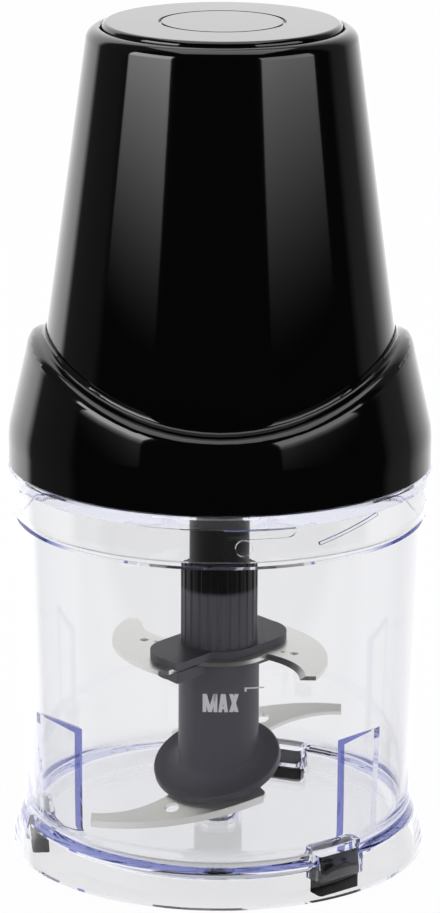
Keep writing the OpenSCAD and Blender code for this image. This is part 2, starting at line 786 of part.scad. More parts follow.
module gear_cover() {
    ear_r = post_r + 0.6;
    color(zinc) translate([0, 0, cover_z]) difference() {
        union() {
            cylinder(r = ring_gear_r, h = gear_cover_t);
            for (k = [0 : 2]) at_angle(120 * k) {
                translate([0, -cover_post_orbit, 0]) cylinder(r = ear_r, h = gear_cover_t, $fn = 48);
                translate([-ear_r, -cover_post_orbit, 0]) cube([2 * ear_r, cover_post_orbit, gear_cover_t]);
            }
        }
        translate([0, 0, -cut]) cylinder(r = motor_nose_r + fit_gap, h = gear_cover_t + 2 * cut);
        for (k = [0 : 2]) at_angle(120 * k) translate([0, -cover_post_orbit, -cut])
            cylinder(r = screw_r + 0.2, h = gear_cover_t + 2 * cut, $fn = 32);
        for (x = [-1, 1]) translate([x * motor_screw_orbit, 0, -cut]) {
            cylinder(r = screw_r + 0.2, h = gear_cover_t + 2 * cut, $fn = 32);
            cylinder(r = screw_head_r, h = screw_head_t + cut + 0.1, $fn = 32);
        }
    }
}

module gear_cover_screws() {
    color(zinc) for (k = [0 : 2]) at_angle(120 * k)
        translate([0, -cover_post_orbit, cover_top + screw_head_t - 0.2]) rotate([180, 0, 0])
            screw(gear_cover_t + 8);
}

// Motor
motor_nose_r = 6;
motor_screw_orbit = 11;
bush_wall = 2.6;
motor_bush_r = motor_shaft_r + bush_wall;

module motor_can() {
    color(zinc) translate([0, 0, cover_top]) difference() {
        union() {
            cylinder(r = motor_r, h = motor_h);
            translate([0, 0, -gear_cover_t + 0.6]) cylinder(r = motor_nose_r, h = gear_cover_t);
        }
        translate([0, 0, motor_wall]) cylinder(r = motor_r - motor_wall, h = motor_h);
        translate([0, 0, -far / 2]) cylinder(r = motor_bush_r + fit_gap, h = far);
        for (x = [-1, 1]) translate([x * motor_screw_orbit, 0, -cut])
            cylinder(r = screw_r + fit_gap, h = motor_wall + 2 * cut, $fn = 32);
    }
}

module motor_screws() {
    color(zinc) for (x = [-1, 1]) translate([x * motor_screw_orbit, 0, cover_z + 0.2])
        screw(gear_cover_t + motor_wall + 0.6);
}

module front_bush() {
    color(brass) translate([0, 0, cover_z + 0.6])
        tube(motor_shaft_r + run_gap, motor_bush_r, gear_cover_t + motor_wall + 2);
}

module motor_end_cap() {
    color(black) difference() {
        union() {
            translate([0, 0, motor_top]) cylinder(r = motor_r, h = end_cap_t);
            translate([0, 0, motor_top]) cylinder(r = motor_nose_r, h = end_cap_t + 2);
            for (x = [-1, 1]) scale([x, 1, 1]) brush_holder();
        }
        translate([0, 0, motor_top - far / 2]) cylinder(r = motor_bush_r + fit_gap, h = far);
    }
}

// Guide of a carbon brush, hanging from the end cap
brush_w = 4;
brush_z = commutator_z + 1.2;
brush_h = min(4, commutator_top - brush_z - 0.6);
brush_out = 12;
module brush_holder() {
    inner = commutator_r + 2;
    difference() {
        translate([inner, -brush_w / 2 - 1.2, brush_z - 1.2])
            cube([brush_out - inner + 1.2, brush_w + 2.4, motor_top - brush_z + 1.2]);
        translate([0, -brush_w / 2 - fit_gap, brush_z - fit_gap])
            cube([brush_out + fit_gap, brush_w + 2 * fit_gap, brush_h + 2 * fit_gap]);
    }
}

module carbon_brushes() {
    color("#3a3a3a") for (x = [-1, 1]) scale([x, 1, 1])
        translate([commutator_r + run_gap, -brush_w / 2, brush_z])
            cube([brush_out - commutator_r - run_gap, brush_w, brush_h]);
}

module rear_bush() {
    color(brass) translate([0, 0, motor_top]) tube(motor_shaft_r + run_gap, motor_bush_r, end_cap_t + 2);
}

module field_magnets() {
    color("#2b2b30") for (a = [90, 270]) translate([0, 0, core_z])
        ring_part(motor_r - motor_wall - fit_gap - magnet_t, motor_r - motor_wall - fit_gap,
            core_top - core_z, a - 55, a + 55);
}

module motor_shaft() {
    color(steel) translate([0, 0, gear_z - 0.2]) cylinder(r = motor_shaft_r, h = shaft_top - gear_z + 0.2);
}

// One slot of the armature, grow widens it
module slot_face(grow) {
    neck = 1.2;
    deep = 5;
    translate([0, -neck - grow]) square([far, 2 * (neck + grow)]);
    translate([deep, -2.6 - grow]) square([armature_r - deep - 2.4 + grow, 2 * (2.6 + grow)]);
}

module armature_core() {
    color(zinc) translate([0, 0, core_z]) linear_extrude(core_top - core_z) difference() {
        circle(r = armature_r);
        circle(r = motor_shaft_r + fit_gap, $fn = 32);
        for (k = [0 : armature_slots - 1]) rotate([0, 0, k * 360 / armature_slots]) intersection() {
            slot_face(0);
            translate([5, -far / 2]) square(far);
        }
    }
}

module armature_windings() {
    liner = 0.2;
    color(copper) {
        translate([0, 0, core_z - 1]) linear_extrude(core_top - core_z + 2)
            for (k = [0 : armature_slots - 1]) rotate([0, 0, k * 360 / armature_slots])
                translate([5 + liner, -2.6 + liner]) square([armature_r - 7.6 - liner, 5.2 - 2 * liner]);
        for (z = [core_z - winding_over, core_top + fit_gap]) translate([0, 0, z])
            tube(motor_shaft_r + 0.6, armature_r - 2.2, winding_over - fit_gap);
    }
}

module commutator() {
    bars = 2 * armature_slots;
    color(copper) translate([0, 0, commutator_z]) linear_extrude(commutator_top - commutator_z) difference() {
        circle(r = commutator_r);
        circle(r = motor_shaft_r + fit_gap, $fn = 32);
        for (k = [0 : bars - 1]) rotate([0, 0, (k + 0.5) * 360 / bars])
            translate([commutator_r - 1, -0.2]) square([2, 0.4]);
    }
}

// Switch bracket: a plate on the posts of the housing, with the guide of the button's stem,
// the clips of the microswitch and the pegs of the control board
switch_size = [19.8, 6.4, 9.6];
board_size = [26, 14, 1.6];
board_y = 20;
peg_h = 2;
bracket_r = cone_r(bracket_top) - housing_wall - clear_gap;

module switch_bracket() {
    clip_t = 1.6;
    color("#d8d8d2") difference() {
        union() {
            translate([0, 0, bracket_z]) cylinder(r = bracket_r, h = bracket_t);
            translate([0, 0, bracket_z]) cylinder(r = stem_r + 2.2, h = bracket_t + guide_h);
            for (y = [-1, 1]) translate([-6, y * (switch_size[1] / 2 + fit_gap + clip_t / 2) - clip_t / 2,
                bracket_z - 7]) cube([12, clip_t, 7.5]);
            for (x = [-1, 1]) translate([x * (board_size[0] / 2 - 3), board_y, bracket_top - 0.5])
                cylinder(r = 2, h = peg_h + 0.5, $fn = 32);
        }
        translate([0, 0, bracket_z - cut]) cylinder(r = stem_r + run_gap, h = far);
        for (k = [0 : 2]) at_angle(120 * k) translate([0, -bracket_post_orbit, bracket_z - cut])
            cylinder(r = screw_r + 0.2, h = bracket_t + 2 * cut, $fn = 32);
        for (y = [-1, 1]) translate([-12, y * 13 - 2, bracket_z - cut]) cube([6, 4, bracket_t + 2 * cut]);
    }
}

module bracket_screws() {
    color(zinc) for (k = [0 : 2]) at_angle(120 * k)
        translate([0, -bracket_post_orbit, bracket_top + screw_head_t - 0.2]) rotate([180, 0, 0])
            screw(bracket_t + 8);
}

module microswitch() {
    lead = [0.6, 3, 4];
    color("#1c1c1e") translate([0, 0, bracket_z - switch_size[2] / 2]) cube(switch_size, center = true);
    color("#b03028") translate([0, 0, bracket_z - 0.5])
        cylinder(r = 1.2, h = plunger_top - bracket_z + 0.5, $fn = 32);
    color(brass) for (x = [-8, 0, 8])
        translate([x, 0, bracket_z - switch_size[2] - lead[2] / 2 + 0.5]) cube(lead, center = true);
}

module control_board() {
    z = bracket_top + peg_h;
    color(board_green) translate([0, board_y, z + board_size[2] / 2]) cube(board_size, center = true);
    color("#202022") translate([-10, board_y - 4, z + 1]) cube([8, 8, 4]);
    color("#34506e") translate([6, board_y, z + 1]) cylinder(r = 4, h = 6.4, $fn = 48);
}

// Return spring: a round wire wound round the guide tube
spring_r = stem_r + 2.2 + 0.8 + spring_wire / 2;
spring_low = bracket_top + spring_wire / 2 + seat_gap;
spring_high = button_under - spring_wire / 2 - seat_gap;
spring_pitch = (spring_high - spring_low) / spring_turns;
echo(least_gap_between_spring_turns = spring_pitch - spring_wire);

module button_spring() {
    per_turn = 12;
    sides = 6;
    rings = spring_turns * per_turn + 1;
    lean = atan(spring_pitch / (2 * PI * spring_r));
    points = [for (i = [0 : rings - 1], s = [0 : sides - 1])
        let (a = i * 360 / per_turn, b = s * 360 / sides,
            out = spring_wire / 2 * cos(b), up = spring_wire / 2 * sin(b))
        [(spring_r + out) * cos(a) + up * sin(lean) * sin(a),
            (spring_r + out) * sin(a) - up * sin(lean) * cos(a),
            spring_low + i * spring_pitch / per_turn + up * cos(lean)]];
    tube_faces = [for (i = [0 : rings - 2], s = [0 : sides - 1])
        let (p = i * sides + s, q = i * sides + (s + 1) % sides)
        each [[p, q + sides, q], [p, p + sides, q + sides]]];
    ends = [for (s = [1 : sides - 2]) each [[0, s, s + 1],
        [(rings - 1) * sides, (rings - 1) * sides + s + 1, (rings - 1) * sides + s]]];
    color(steel) polyhedron(points, concat(tube_faces, ends));
}

module press_button() {
    edge = 1.4;
    skirt = 2.2;
    flange_z = button_flange_top - button_flange_t;
    flange_r = cone_r(lip_z) - housing_wall - clear_gap;
    color(black) difference() {
        union() {
            rotate_extrude() polygon(concat(
                [[0, button_under], [button_r - skirt, button_under], [button_r - skirt, flange_z],
                    [flange_r, flange_z], [flange_r, button_flange_top], [button_r, button_flange_top]],
                arc([button_r - edge, button_top - edge], edge, 0, 90, 6),
                [[0, button_top]]));
            translate([0, 0, stem_z]) cylinder(r = stem_r, h = button_under - stem_z + 0.5);
        }
        translate([0, 0, button_top - mark_d]) tube(mark_r - mark_w / 2, mark_r + mark_w / 2, far);
    }
}

// Blades. Each is an S of two arms, cut from flat strip: a circle gives the outer edge of an arm,
// a smaller circle its hollow edge, and the ground edge is a cone on one of them.
lug_hole_r = 1.3;
strip_far = 60;
upper_edge = [11.6, 8.9];
upper_edge_r = 42.6;
upper_hollow = [-0.4, 26.1];
upper_hollow_r = 22.3;
upper_tip_y = 26.6;
upper_middle_r = 15;
lower_edge_r = 69.9;
lower_edge = [-10, -46.2];
lower_hollow = [21.4, -22.1];
lower_hollow_r = 25.5;
lower_middle_r = 17.5;

module upper_arm() {
    difference() {
        intersection() {
            translate([upper_edge[0], upper_edge[1], 0]) cylinder(r = upper_edge_r, h = blade_t);
            linear_extrude(blade_t) polygon([[-14, -22.4], [-strip_far, -26], [-strip_far, upper_tip_y],
                [0, upper_tip_y], [-4, 6], [-6, -12]]);
        }
        translate([upper_hollow[0], upper_hollow[1], -cut])
            cylinder(r = upper_hollow_r, h = blade_t + 2 * cut);
        translate([upper_hollow[0], upper_hollow[1], 0])
            cylinder(r1 = upper_hollow_r - 0.01, r2 = upper_hollow_r + blade_bevel, h = blade_t + 0.01);
        translate([-21.6, 6, -cut]) cylinder(r = lug_hole_r, h = blade_t + 2 * cut, $fn = 32);
        translate([-18.2, 4.6, -cut]) cylinder(r = lug_hole_r / 2, h = blade_t + 2 * cut, $fn = 32);
    }
}

// Lower arm, built along +X with its ground edge towards +Y
module lower_arm() {
    back = 8;
    slant = tan(33);
    lean = sin(lower_tilt) * cos(lower_arm_angle - lower_low_angle);
    reach = lower_tip_r / sqrt(1 - lean * lean);
    difference() {
        intersection() {
            translate([lower_edge[0], lower_edge[1], 0])
                cylinder(r1 = lower_edge_r, r2 = lower_edge_r - blade_bevel, h = blade_t);
            linear_extrude(blade_t) polygon([[0, 0], [-4, 0], [-4, 20.8], [-1, 24], [-1, strip_far],
                [reach + strip_far * slant, strip_far], [reach - back * slant, -back], [12, -back]]);
        }
        translate([lower_hollow[0], lower_hollow[1], -cut])
            cylinder(r = lower_hollow_r, h = blade_t + 2 * cut);
        translate([20.2, 8.9, -cut]) cylinder(r = lug_hole_r + 0.8, h = blade_t + 2 * cut, $fn = 32);
    }
}

module upper_plate() {
    translate([0, 0, upper_blade_z]) rotate([0, 0, upper_turn]) {
        for (a = [0, 180]) rotate([0, 0, a]) upper_arm();
        cylinder(r = upper_middle_r, h = blade_t);
    }
}

// Frame of the tilted lower blade: z = 0 is the blade's underside, +X its first arm
module at_lower_blade() {
    translate([0, 0, lower_blade_z]) rotate([0, 0, lower_low_angle]) rotate([lower_tilt, 0, 0])
        rotate([0, 0, -lower_low_angle]) children();
}
module lower_plate() {
    at_lower_blade() {
        for (a = [0, 180]) rotate([0, 0, lower_arm_angle - 90 + a]) lower_arm();
        cylinder(r = lower_middle_r, h = blade_t);
    }
}

// Core of the hub that passes through the middle of a blade
core_r = 7;
module upper_blade() {
    color(steel) difference() {
        upper_plate();
        cylinder(r = core_r + fit_gap, h = far);
    }
}
module lower_blade() {
    color(steel) difference() {
        intersection() {
            lower_plate();
            cylinder(r = lower_tip_r, h = far);
        }
        cylinder(r = core_r + fit_gap, h = far);
    }
}

// Swept face with two arms, as the blade has: each arm leaves the middle as a tangent, has a round end,
// and comes back along a straight edge nearer to the axis
upper_flange_angle = 50;
upper_arm_reach = 12;
upper_arm_side = 6;
upper_arm_tip = 1.2;
module swept_face(mid_r, shrink) {
    r = mid_r - shrink;
    side = upper_arm_side - shrink;
    half = concat(
        arc([upper_arm_reach, 0], r, -90, 0, 10),
        [[upper_arm_reach + r + upper_arm_tip, side]],
        arc([0, 0], r, asin(side / r), 90, 6));
    polygon(concat(half, -half));
}

lower_neck = 2.2;
module blade_hub() {
    flange_mid = hub_r + 0.3;
    under_t = 3.2;
    flange_z = upper_blade_z + blade_t + fit_gap;
    flange_top = blade_t + lower_flange_t;
    flare_r = hub_r - 2.4;
    color(hub_grey) difference() {
        union() {
            translate([0, 0, flange_z]) linear_extrude(hub_top - flange_z) difference() {
                circle(r = sleeve_r);
                for (k = [0 : flute_count - 1]) rotate([0, 0, k * 360 / flute_count])
                    translate([sleeve_r + flute_r / 2, 0]) circle(r = flute_r, $fn = 24);
            }
            rotate([0, 0, upper_flange_angle + upper_turn]) {
                translate([0, 0, flange_z]) linear_extrude(upper_flange_t) swept_face(flange_mid, 0);
                translate([0, 0, upper_blade_z - fit_gap - under_t]) linear_extrude(under_t)
                    swept_face(flange_mid, 1.5);
            }
            translate([0, 0, hub_z]) cylinder(r = core_r, h = upper_blade_z + blade_t + 1 - hub_z);
            difference() {
                union() {
                    rotate([0, 0, upper_flange_angle + upper_turn + 90]) translate([0, 0, hub_z])
                        cylinder(r = hub_r, h = upper_blade_z - fit_gap - hub_z);
                    at_lower_blade() rotate_extrude() polygon(concat(
                        [[0, 0], [lower_flange_r, 0]],
                        bend([lower_flange_r, flange_top - 0.8], [lower_flange_r, flange_top],
                            [lower_flange_r - 0.8, flange_top], 3),
                        bend([hub_r + 4, flange_top], [flare_r + 1.2, flange_top + 0.2],
                            [flare_r, flange_top + flare_h], 6),
                        [[0, flange_top + flare_h]]));
                }
                at_lower_blade() translate([0, 0, blade_t + fit_gap - far]) cylinder(r = 2 * hub_r, h = far);
            }
            at_lower_blade() translate([0, 0, -lower_neck - fit_gap])
                cylinder(r1 = core_r + 1, r2 = core_r + 3, h = lower_neck);
        }
        translate([0, 0, socket_z]) linear_extrude(far) spline_face(clear_gap / 2);
        translate([0, 0, hub_z - cut]) cylinder(r = pin_r + run_gap, h = floor_boss_top + pin_h + 1 - hub_z + cut);
    }
}

bowl();
pivot_pin();
foot_front();
foot_back();
foot_left();
lid();
motor_housing();
shoulder_ring();
housing_base();
base_screws();
output_bush();
ring_gear();
gear_cover();
gear_cover_screws();
motor_can();
motor_end_cap();
field_magnets();
front_bush();
rear_bush();
carbon_brushes();
motor_screws();
switch_bracket();
bracket_screws();
microswitch();
control_board();
cord_gland();
button_spring();
press_button();
motor_shaft();
armature_core();
armature_windings();
commutator();
motor_pinion();
planet_carrier();
planet_pins();
output_shaft();
drive_coupling();
planet_gear_1();
planet_gear_2();
planet_gear_3();
blade_hub();
upper_blade();
lower_blade();
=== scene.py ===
# %% [markdown]
# # Electric food chopper
# A clear bowl with a twist-lock lid, two blades on a grey hub, and a glossy black motor unit that is
# started by pressing the round button on its top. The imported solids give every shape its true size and
# place, so this lesson spends its time on soft edges, finishes, the printed fill mark and light.

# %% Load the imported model
import json
import math

import bpy
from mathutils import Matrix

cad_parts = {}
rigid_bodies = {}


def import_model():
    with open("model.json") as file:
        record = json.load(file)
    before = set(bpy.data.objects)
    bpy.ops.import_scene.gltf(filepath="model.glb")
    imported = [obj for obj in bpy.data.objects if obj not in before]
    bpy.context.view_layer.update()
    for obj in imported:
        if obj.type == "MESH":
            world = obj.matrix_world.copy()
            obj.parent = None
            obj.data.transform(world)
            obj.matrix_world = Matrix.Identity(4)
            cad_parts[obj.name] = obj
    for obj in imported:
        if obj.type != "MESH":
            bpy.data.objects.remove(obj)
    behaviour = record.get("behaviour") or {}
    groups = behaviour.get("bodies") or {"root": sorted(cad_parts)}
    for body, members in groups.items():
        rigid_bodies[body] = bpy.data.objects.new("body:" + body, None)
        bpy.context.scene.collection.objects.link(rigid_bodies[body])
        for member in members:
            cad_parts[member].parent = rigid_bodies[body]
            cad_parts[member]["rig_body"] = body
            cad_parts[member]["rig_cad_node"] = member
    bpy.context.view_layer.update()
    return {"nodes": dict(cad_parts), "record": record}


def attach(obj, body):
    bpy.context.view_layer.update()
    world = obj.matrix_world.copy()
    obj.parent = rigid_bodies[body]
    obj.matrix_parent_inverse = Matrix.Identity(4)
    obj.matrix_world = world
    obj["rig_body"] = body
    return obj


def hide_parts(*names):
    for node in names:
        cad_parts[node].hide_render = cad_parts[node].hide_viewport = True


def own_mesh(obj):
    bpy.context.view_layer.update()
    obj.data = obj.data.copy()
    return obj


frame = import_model()
nodes = frame["nodes"]
MM = 0.001

# %% [markdown]
# ## Small helpers
# Colours are written as the hex values that a paint chart gives. A shader works in linear light, so one
# function converts them, and another gives a tone of them. The next adds a shader node with its settings
# and its links in one line, and one more starts a material with its Principled shader.


# %% Helpers for colours and shader nodes
def linear(hex_colour):
    """The linear colour of an sRGB hex value, as a shader socket takes it."""
    parts = [int(hex_colour[i:i + 2], 16) / 255 for i in (1, 3, 5)]
    return [c / 12.92 if c <= 0.04045 else ((c + 0.055) / 1.055) ** 2.4 for c in parts] + [1.0]


def toned(hex_colour, share):
    """A darker or lighter tone of a hex colour, as a shader socket takes it."""
    return [c * share for c in linear(hex_colour)[:3]] + [1.0]


def add(tree, kind, inputs=None, **settings):
    """A shader node with its settings; an input is a value, or the output socket that feeds it."""
    made = tree.nodes.new(kind)
    for name, value in settings.items():
        setattr(made, name, value)
    for name, value in (inputs or {}).items():
        if isinstance(value, bpy.types.NodeSocket):
            tree.links.new(value, made.inputs[name])
        else:
            made.inputs[name].default_value = value
    return made


def finish(name, colour, **sockets):
    """A material whose Principled shader has this colour and these socket values."""
    material = bpy.data.materials.new(name)
    material.use_nodes = True
    shader = material.node_tree.nodes["Principled BSDF"]
    shader.inputs["Base Color"].default_value = linear(colour)
    for socket, value in sockets.items():
        shader.inputs[socket.replace("_", " ")].default_value = value
    return material, material.node_tree, shader


print("mid grey in linear light:", round(linear("#808080")[0], 3))

# %% [markdown]
# An operator acts on whatever is selected, as a click does. So one helper selects a single object, and
# another adds a modifier to it and applies it at once.


# %% Helpers for selection and modifiers
def only(piece):
    """Selects one object and nothing else."""
    bpy.ops.object.select_all(action="DESELECT")
    piece.select_set(True)
    bpy.context.view_layer.objects.active = piece


def modify(piece, kind, **settings):
    """Adds a modifier with its settings to a piece and applies it."""
    only(piece)
    step = piece.modifiers.new(kind.lower(), kind)
    for name, value in settings.items():
        setattr(step, name, value)
    bpy.ops.object.modifier_apply(modifier=step.name)


print("left selected by the load:", len(bpy.context.selected_objects))

# %% [markdown]
# ## Camera
# The picture was taken with a long lens from a little above. The distance, the height and the tilt come
# from fitting the bowl's foot, the rim and the top of the cone to the picture. The lens belongs to a
# 36 mm long side of the picture.

# %% Place the camera
CAMERA_AWAY = 1.1664
CAMERA_HIGH = 0.4411
CAMERA_DOWN = math.radians(15.62)
CAMERA_ROLL = math.radians(0.313)
LENS_MM, SENSOR_MM = 168.1, 36
bpy.ops.object.camera_add(location=(0, -CAMERA_AWAY, CAMERA_HIGH))
camera = bpy.context.active_object
camera.rotation_euler = (math.pi / 2 - CAMERA_DOWN, 0, 0)
camera.rotation_euler.rotate_axis("Z", CAMERA_ROLL)
camera.data.lens = LENS_MM
camera.data.sensor_width = SENSOR_MM
scene = bpy.context.scene
scene.camera = camera
print("camera at", tuple(round(v, 4) for v in camera.location))

# %% [markdown]
# ## Studio
# Black gloss shows the room more than its own colour. The picture has a white wall behind the object, a
# dark room behind the camera and a soft panel on each side. One world can't be all of that, but Light Path
# tells it what kind of ray is asking. So it is white for the eye, an even grey for plain light, and
# something else for mirrors and for clear plastic. Light has to bounce many times before it leaves a
# thick clear edge, so the limits on bounces go up.

# %% World, view and bounces
MANY_BOUNCES = 200
world = bpy.data.worlds.new("studio")
world.use_nodes = True
scene.world = world
scene.view_settings.view_transform = "Standard"
scene.cycles.max_bounces = MANY_BOUNCES
scene.cycles.glossy_bounces = MANY_BOUNCES
scene.cycles.transmission_bounces = MANY_BOUNCES
tree = world.node_tree
path = add(tree, "ShaderNodeLightPath")
way = add(tree, "ShaderNodeTexCoord")
split = add(tree, "ShaderNodeSeparateXYZ", {"Vector": way.outputs["Generated"]})
print("bounces:", scene.cycles.max_bounces)

# %% [markdown]
# Mirrors look into a dark room in front, and see a wall far back. The edges of the cone show where that
# wall begins: sharply on the left, and later and more softly on the right. A Map Range node on the ray's
# direction draws each side, and a mix across X joins them.

# %% Wall that the black gloss mirrors
DARK_ROOM = 0.012
LEFT_WALL = {"From Min": 0.52, "From Max": 0.62, "To Min": 0.1, "To Max": 1.5}
RIGHT_WALL = {"From Min": 0.53, "From Max": 1.0, "To Min": 0.15, "To Max": 1.7}
SIDES_MEET = {"From Min": -0.1, "From Max": 0.1}
WALL_STARTS = {"From Min": -0.12, "From Max": 0.0}
RIGHT_LATER = -0.25
left = add(tree, "ShaderNodeMapRange", {"Value": split.outputs["Y"], **LEFT_WALL})
right = add(tree, "ShaderNodeMapRange", {"Value": split.outputs["Y"], **RIGHT_WALL})
across = add(tree, "ShaderNodeMapRange", {"Value": split.outputs["X"], **SIDES_MEET})
side = add(tree, "ShaderNodeMix", {"Factor": across.outputs[0], 2: left.outputs[0], 3: right.outputs[0]})
back = add(tree, "ShaderNodeMath", {0: across.outputs[0], 1: RIGHT_LATER, 2: split.outputs["Y"]},
    operation="MULTIPLY_ADD")
depth = add(tree, "ShaderNodeMapRange", {"Value": back.outputs[0], **WALL_STARTS})
wall = add(tree, "ShaderNodeMix", {"Factor": depth.outputs[0], 2: DARK_ROOM, 3: side.outputs[0]})
print("wall in mirrors:", LEFT_WALL["To Max"], "left,", RIGHT_WALL["To Max"], "right")

# %% [markdown]
# What is seen through the clear plastic is white all round. Only a ray that was mirrored once on its way,
# inside a clear wall, and comes back towards the lens meets the dark room, or the wall in front of the
# hub would lay a white veil over it.

# %% White seen through the clear plastic
BACKDROP = 1.0
LENS_DARK = 0.06
TOWARDS_LENS = {"From Min": -0.97, "From Max": -0.55}
MIRRORED_ONCE = {1: 1.0, 2: 0.5}
once = add(tree, "ShaderNodeMath", {0: path.outputs["Glossy Depth"], **MIRRORED_ONCE}, operation="COMPARE")
front = add(tree, "ShaderNodeMapRange", {"Value": split.outputs["Y"], **TOWARDS_LENS, "To Min": LENS_DARK,
    "To Max": BACKDROP}, interpolation_type="SMOOTHSTEP")
through = add(tree, "ShaderNodeMix", {"Factor": once.outputs[0], 2: BACKDROP, 3: front.outputs[0]})
print("through the plastic:", BACKDROP, "and towards the lens:", LENS_DARK)

# %% [markdown]
# Light Path answers yes or no for each kind of ray, so a chain of mixes picks the strength: plain light
# first, then mirrors, then clear plastic. The eye comes last, because its answer holds over the others.

# %% One strength for each kind of ray
ROOM_LIGHT = 0.6
mirrored = add(tree, "ShaderNodeMix", {"Factor": path.outputs["Is Glossy Ray"], 2: ROOM_LIGHT,
    3: wall.outputs[0]})
behind = add(tree, "ShaderNodeMix", {"Factor": path.outputs["Is Transmission Ray"], 2: mirrored.outputs[0],
    3: through.outputs[0]})
seen = add(tree, "ShaderNodeMix", {"Factor": path.outputs["Is Camera Ray"], 2: behind.outputs[0],
    3: BACKDROP})
tree.links.new(seen.outputs[0], tree.nodes["Background"].inputs["Strength"])
tree.nodes["Background"].inputs["Color"].default_value = (1, 1, 1, 1)
print("world nodes:", len(tree.nodes))

# %% [markdown]
# The panels at the sides only exist for mirrors. Each stands close to the object and fades towards the
# floor, so it draws a grey streak with crisp sides down the cone and a bright one on the rounded lip of
# the shoulder ring. A lamp would light the whole object, so a glowing plane is used that other rays
# don't see.

# %% Side panels that the black gloss mirrors
PANEL_AWAY, PANEL_LOW, PANEL_HIGH = 0.34, 0.15, 0.42
FADE_POWER = 2.0


def side_panel(name, turn, wide, full, bright):
    """An upright glowing panel this far round from the front, at its full brightness from this height up."""
    bpy.ops.object.select_all(action="DESELECT")
    bpy.ops.mesh.primitive_plane_add(size=1)
    panel = bpy.context.active_object
    panel.name = name
    panel.scale = (wide, PANEL_HIGH - PANEL_LOW, 1)
    panel.rotation_euler = (math.pi / 2, 0, turn)
    panel.location = (PANEL_AWAY * math.sin(turn), -PANEL_AWAY * math.cos(turn), (PANEL_LOW + PANEL_HIGH) / 2)
    bpy.ops.object.transform_apply()
    cloth, tree, _ = finish(name + "_cloth", "#ffffff")
    coords = add(tree, "ShaderNodeTexCoord")
    place = add(tree, "ShaderNodeSeparateXYZ", {"Vector": coords.outputs["Object"]})
    rise = add(tree, "ShaderNodeMapRange", {"Value": place.outputs["Z"], "From Min": PANEL_LOW,
        "From Max": full})
    fade = add(tree, "ShaderNodeMath", {0: rise.outputs[0], 1: FADE_POWER}, operation="POWER")
    level = add(tree, "ShaderNodeMath", {0: fade.outputs[0], 1: bright}, operation="MULTIPLY")
    glow = add(tree, "ShaderNodeEmission", {"Color": (1, 1, 1, 1), "Strength": level.outputs[0]})
    tree.links.new(glow.outputs[0], tree.nodes["Material Output"].inputs["Surface"])
    panel.data.materials.append(cloth)
    panel.visible_camera = panel.visible_diffuse = False
    panel.visible_transmission = panel.visible_shadow = False
    print(name, "at", [round(c, 3) for c in panel.bound_box[0]])


side_panel("left_panel", turn=math.radians(-60), wide=0.24, full=0.288, bright=6.5)
side_panel("right_panel", turn=math.radians(54.5), wide=0.296, full=0.27, bright=3.0)

# %% [markdown]
# One large soft box overhead gives plain light from above, with soft shadows. The world does the rest.

# %% Soft box overhead
TOP_BOX_PLACE, TOP_BOX_WIDE, TOP_BOX_WATTS = (0, 0.1, 1.5), 1.2, 9
bpy.ops.object.light_add(type="AREA", location=TOP_BOX_PLACE)
top_box = bpy.context.active_object
top_box.name = "top_box"
top_box.data.shape = "SQUARE"
top_box.data.size = TOP_BOX_WIDE
top_box.data.energy = TOP_BOX_WATTS
top_box.visible_transmission = False
print(top_box.name, "watts:", top_box.data.energy)

# %% [markdown]
# The floor is a plain white sheet that runs out of the picture. Mirrors look past it into the dark room,
# so it is hidden from glossy rays.

# %% Floor sheet
FLOOR_WIDE = 12
bpy.ops.object.select_all(action="DESELECT")
bpy.ops.mesh.primitive_plane_add(size=FLOOR_WIDE, location=(0, 0, 0))
floor = bpy.context.active_object
floor.name = "floor"
paper, tree, shader = finish("white_paper", "#f4f4f4", Roughness=0.9)
floor.data.materials.append(paper)
floor.visible_glossy = False
print(floor.name, "metres wide:", FLOOR_WIDE)

# %% [markdown]
# The sheet's own light lifts it to white for the eye, but only in part, so that the object keeps its soft
# shadow. More light on the sheet would also brighten the object. In front of the object the sheet is dark
# for a ray that was mirrored once inside a clear wall, for the same reason as the dark part of the world.

# %% White lift of the floor, and its dark part in front
EYE_LIFT, CLEAR_LIFT = 0.97, 0.78
IN_FRONT_OF_BOWL = {"From Min": -0.03, "From Max": -0.08}
path = add(tree, "ShaderNodeLightPath")
eye = add(tree, "ShaderNodeMath", {0: path.outputs["Is Camera Ray"], 1: EYE_LIFT}, operation="MULTIPLY")
lens = add(tree, "ShaderNodeMath", {0: path.outputs["Is Transmission Ray"], 1: CLEAR_LIFT},
    operation="MULTIPLY")
lift = add(tree, "ShaderNodeMath", {0: eye.outputs[0], 1: lens.outputs[0]}, operation="MAXIMUM")
white = add(tree, "ShaderNodeEmission", {"Color": (1, 1, 1, 1), "Strength": BACKDROP})
both = add(tree, "ShaderNodeMixShader", {0: lift.outputs[0], 1: shader.outputs[0], 2: white.outputs[0]})
coords = add(tree, "ShaderNodeTexCoord")
place = add(tree, "ShaderNodeSeparateXYZ", {"Vector": coords.outputs["Object"]})
front = add(tree, "ShaderNodeMapRange", {"Value": place.outputs["Y"], **IN_FRONT_OF_BOWL})
once = add(tree, "ShaderNodeMath", {0: path.outputs["Glossy Depth"], **MIRRORED_ONCE}, operation="COMPARE")
mirrored = add(tree, "ShaderNodeMath", {0: once.outputs[0], 1: front.outputs[0]}, operation="MULTIPLY")
dark = add(tree, "ShaderNodeEmission", {"Color": (1, 1, 1, 1), "Strength": LENS_DARK})
sheet = add(tree, "ShaderNodeMixShader", {0: mirrored.outputs[0], 1: both.outputs[0], 2: dark.outputs[0]})
tree.links.new(sheet.outputs[0], tree.nodes["Material Output"].inputs["Surface"])
print("floor nodes:", len(tree.nodes))

